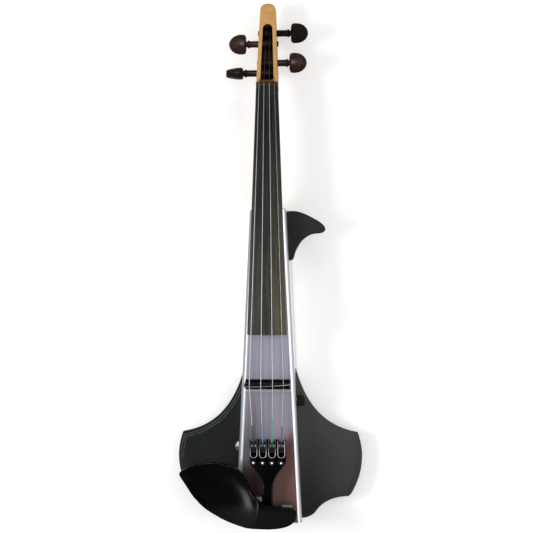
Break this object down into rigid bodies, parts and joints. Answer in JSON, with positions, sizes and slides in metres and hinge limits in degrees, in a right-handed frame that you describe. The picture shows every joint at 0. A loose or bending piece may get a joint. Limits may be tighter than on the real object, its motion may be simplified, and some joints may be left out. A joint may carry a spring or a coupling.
{
  "type": "electric violin",
  "caption": "Electric violin: maple neck, ebony fingerboard, folded aluminium body with side wings, chinrest, turning pegs and a tailpiece with built-in fine tuners.",
  "frame": {"origin": "on the outer face of the back cover, on the centreline, under the line where the strings cross the bridge", "axes": "the violin lies on its back: +Y towards the head, +Z towards the strings, +X towards the treble side"},
  "size_m": [0.206, 0.5782, 0.0675],
  "materials": {
    "maple": "oiled",
    "ebony": "satin",
    "rosewood": "polished",
    "aluminium": "polished",
    "steel": "satin",
    "black_steel": "blackened",
    "gold": "polished",
    "brass": "satin",
    "gloss_black": "gloss",
    "satin_black": "satin",
    "grained_black": "grained",
    "cover_black": "matt",
    "string_steel": "wound",
    "nylon": "satin",
    "green_board": "satin",
    "battery_skin": "satin",
    "brown_knob": "satin"
  },
  "bodies": {
    "violin": {"neck": "maple", "fingerboard": "ebony", "nut": "ebony", "string_g": "string_steel", "string_d": "string_steel", "string_a": "string_steel", "string_e": "string_steel", "body_channel": "aluminium", "back_cover": "cover_black", "tail_block": "maple", "cover_screw_1": "steel", "cover_screw_2": "steel", "neck_screw_1": "steel", "neck_screw_2": "steel", "bridge": "satin_black", "bridge_pickup": "brass", "tailpiece": "gloss_black", "tuner_pin": "steel", "tail_cord": "nylon", "tail_post": "steel", "chinrest": "gloss_black", "chinrest_foot_left": "aluminium", "chinrest_foot_right": "aluminium", "left_wing": "grained_black", "right_wing": "grained_black", "left_wing_screw_1": "steel", "left_wing_screw_2": "steel", "right_wing_screw_1": "steel", "right_wing_screw_2": "steel", "fin": "grained_black", "fin_screw_1": "steel", "fin_screw_2": "steel", "volume_pot": "steel", "output_jack": "gold", "jack_nut": "gold", "preamp_board": "green_board", "battery": "battery_skin", "wiring_loom": "nylon"},
    "g_peg": {"peg_g": "rosewood", "string_g_winding": "string_steel"},
    "d_peg": {"peg_d": "rosewood", "string_d_winding": "string_steel"},
    "a_peg": {"peg_a": "rosewood", "string_a_winding": "string_steel"},
    "e_peg": {"peg_e": "rosewood", "string_e_winding": "string_steel"},
    "g_tuner_screw": {"tuner_screw_g": "black_steel"},
    "d_tuner_screw": {"tuner_screw_d": "black_steel"},
    "a_tuner_screw": {"tuner_screw_a": "black_steel"},
    "e_tuner_screw": {"tuner_screw_e": "black_steel"},
    "g_tuner_lever": {"tuner_lever_g": "black_steel", "string_g_ball": "brass"},
    "d_tuner_lever": {"tuner_lever_d": "black_steel", "string_d_ball": "brass"},
    "a_tuner_lever": {"tuner_lever_a": "black_steel", "string_a_ball": "brass"},
    "e_tuner_lever": {"tuner_lever_e": "black_steel", "string_e_ball": "brass"},
    "knob": {"volume_knob": "brown_knob"},
    "door": {"battery_door": "cover_black"}
  },
  "joints": [
    {"name": "g_peg_turn", "type": "hinge", "parent": "violin", "child": "g_peg", "pos_m": [0, 0.344, 0.03257], "axis": [-1, 0, 0], "continuous": true},
    {"name": "d_peg_turn", "type": "hinge", "parent": "violin", "child": "d_peg", "pos_m": [0, 0.3772, 0.02672], "axis": [-1, 0, 0], "continuous": true},
    {"name": "a_peg_turn", "type": "hinge", "parent": "violin", "child": "a_peg", "pos_m": [0, 0.3893, 0.02459], "axis": [-1, 0, 0], "continuous": true},
    {"name": "e_peg_turn", "type": "hinge", "parent": "violin", "child": "e_peg", "pos_m": [0, 0.3554, 0.03056], "axis": [-1, 0, 0], "continuous": true},
    {"name": "g_tuner_turn", "type": "hinge", "parent": "violin", "child": "g_tuner_screw", "pos_m": [-0.01523, -0.085, 0.05], "axis": [0, 0, -1], "range_deg": [0, 1440]},
    {"name": "d_tuner_turn", "type": "hinge", "parent": "violin", "child": "d_tuner_screw", "pos_m": [-0.00507, -0.085, 0.05], "axis": [0, 0, -1], "range_deg": [0, 1440]},
    {"name": "a_tuner_turn", "type": "hinge", "parent": "violin", "child": "a_tuner_screw", "pos_m": [0.00507, -0.085, 0.05], "axis": [0, 0, -1], "range_deg": [0, 1440]},
    {"name": "e_tuner_turn", "type": "hinge", "parent": "violin", "child": "e_tuner_screw", "pos_m": [0.01523, -0.085, 0.05], "axis": [0, 0, -1], "range_deg": [0, 1440]},
    {"name": "g_lever_tilt", "type": "hinge", "parent": "violin", "child": "g_tuner_lever", "pos_m": [-0.01523, -0.07, 0.046], "axis": [1, 0, 0], "range_deg": [0, 8]},
    {"name": "d_lever_tilt", "type": "hinge", "parent": "violin", "child": "d_tuner_lever", "pos_m": [-0.00507, -0.07, 0.046], "axis": [1, 0, 0], "range_deg": [0, 8]},
    {"name": "a_lever_tilt", "type": "hinge", "parent": "violin", "child": "a_tuner_lever", "pos_m": [0.00507, -0.07, 0.046], "axis": [1, 0, 0], "range_deg": [0, 8]},
    {"name": "e_lever_tilt", "type": "hinge", "parent": "violin", "child": "e_tuner_lever", "pos_m": [0.01523, -0.07, 0.046], "axis": [1, 0, 0], "range_deg": [0, 8]},
    {"name": "volume_turn", "type": "hinge", "parent": "violin", "child": "knob", "pos_m": [0.031, -0.0189, 0.0255], "axis": [1, 0, 0], "range_deg": [-150, 150]},
    {"name": "battery_door_swing", "type": "hinge", "parent": "violin", "child": "door", "pos_m": [0, -0.0797, 0], "axis": [1, 0, 0], "range_deg": [0, 100]}
  ],
  "couplings": [
    {"joint": "g_tuner_turn", "follows": "g_lever_tilt", "ratio": 179.9},
    {"joint": "d_tuner_turn", "follows": "d_lever_tilt", "ratio": 179.9},
    {"joint": "a_tuner_turn", "follows": "a_lever_tilt", "ratio": 179.9},
    {"joint": "e_tuner_turn", "follows": "e_lever_tilt", "ratio": 179.9}
  ]
}
